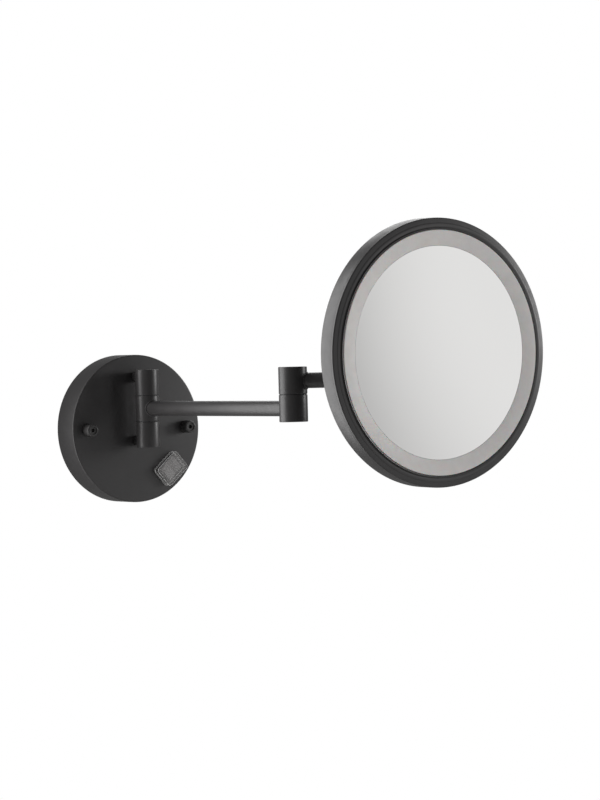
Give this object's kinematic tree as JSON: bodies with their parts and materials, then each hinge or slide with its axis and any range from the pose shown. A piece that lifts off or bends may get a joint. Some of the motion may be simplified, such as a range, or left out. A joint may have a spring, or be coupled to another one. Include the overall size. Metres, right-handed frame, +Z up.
{
  "type": "extendable shaving mirror",
  "caption": "Wall-mounted round shaving mirror with a frosted light ring, carried on two swivelling arms from a round wall plate with a rocker switch.",
  "frame": {"origin": "centre of the wall plate's back face, on the wall", "axes": "+Y points into the wall, the mirror stands out along -Y, +Z is up and +X is to the right for someone facing the wall"},
  "size_m": [0.2276, 0.3617, 0.2185],
  "materials": {
    "bronze": "dark bronze, satin, slightly metallic",
    "brushed_steel": "brushed",
    "brass": "turned",
    "aluminium": "plain sheet",
    "nylon": "moulded, matt",
    "black_rubber": "matt",
    "white_plastic": "moulded, satin",
    "grey_plastic": "moulded, satin",
    "clear_silicone": "clear, soft, glossy",
    "mirror_silver": "silvered glass",
    "frosted_acrylic": "frosted, translucent",
    "board_white": "white solder resist",
    "lead_sleeve": "sleeved lead"
  },
  "bodies": {
    "wall": {"mounting_plate": "brushed_steel", "wall_gasket": "black_rubber", "cable_grommet": "black_rubber", "cover_shell": "bronze", "stud_left": "brushed_steel", "stud_right": "brushed_steel", "cap_nut_left": "bronze", "cap_nut_right": "bronze", "led_driver": "white_plastic", "terminal_block": "white_plastic", "wall_knuckle_upper": "bronze", "wall_knuckle_lower": "bronze", "spigot_nut_upper": "brass", "spigot_nut_lower": "brass", "post_cap_upper": "bronze", "post_cap_lower": "bronze", "wall_lead": "lead_sleeve", "switch_housing": "nylon", "switch_blade_a": "brass", "switch_blade_b": "brass", "switch_boot": "clear_silicone"},
    "rocker": {"switch_rocker": "grey_plastic"},
    "arm_one": {"arm_one_knuckle": "bronze", "post_bolt": "brass", "post_nut": "brass", "post_washer_upper": "nylon", "post_washer_lower": "nylon", "arm_one_tube": "bronze", "elbow_lower": "bronze", "elbow_bolt": "brass", "elbow_nut": "brass", "elbow_washer": "nylon", "elbow_cap_bottom": "bronze", "arm_one_lead": "lead_sleeve"},
    "arm_two": {"elbow_upper": "bronze", "elbow_cap_top": "bronze", "arm_two_tube": "bronze", "swivel_lower": "bronze", "swivel_bolt": "brass", "swivel_nut": "brass", "swivel_washer": "nylon", "swivel_cap_bottom": "bronze", "arm_two_lead": "lead_sleeve"},
    "swivel": {"swivel_upper": "bronze", "swivel_cap_top": "bronze"},
    "head": {"tilt_bracket": "bronze", "tilt_washer_left": "nylon", "tilt_washer_right": "nylon", "tilt_pin": "brushed_steel", "tilt_nut": "brass", "back_shell": "bronze", "bezel_rim": "bronze", "mirror_glass": "mirror_silver", "diffuser_ring": "frosted_acrylic", "led_board": "board_white", "mirror_seat": "white_plastic", "carrier_plate": "aluminium", "head_grommet": "black_rubber", "head_lead": "lead_sleeve"}
  },
  "joints": [
    {"name": "wall_swivel", "type": "hinge", "parent": "wall", "child": "arm_one", "pos_m": [0, -0.043, 0.0164], "axis": [0, 0, -1], "range_deg": [-90, 90]},
    {"name": "elbow_swivel", "type": "hinge", "parent": "arm_one", "child": "arm_two", "pos_m": [0, -0.254, 0.0377], "axis": [0, 0, 1], "range_deg": [-148, 102]},
    {"name": "head_swivel", "type": "hinge", "parent": "arm_two", "child": "swivel", "pos_m": [0.06421, -0.31181, 0.0377], "axis": [0, 0, -1], "range_deg": [-120.5, 29.5]},
    {"name": "head_tilt", "type": "hinge", "parent": "swivel", "child": "head", "pos_m": [0.06489, -0.3313, 0.0567], "axis": [0.9994, 0.0349, 0], "range_deg": [-25, 25]},
    {"name": "switch_rock", "type": "hinge", "parent": "wall", "child": "rocker", "pos_m": [0.0303, -0.0244, -0.034], "axis": [0.6561, 0, -0.7547], "range_deg": [0, 16]}
  ]
}
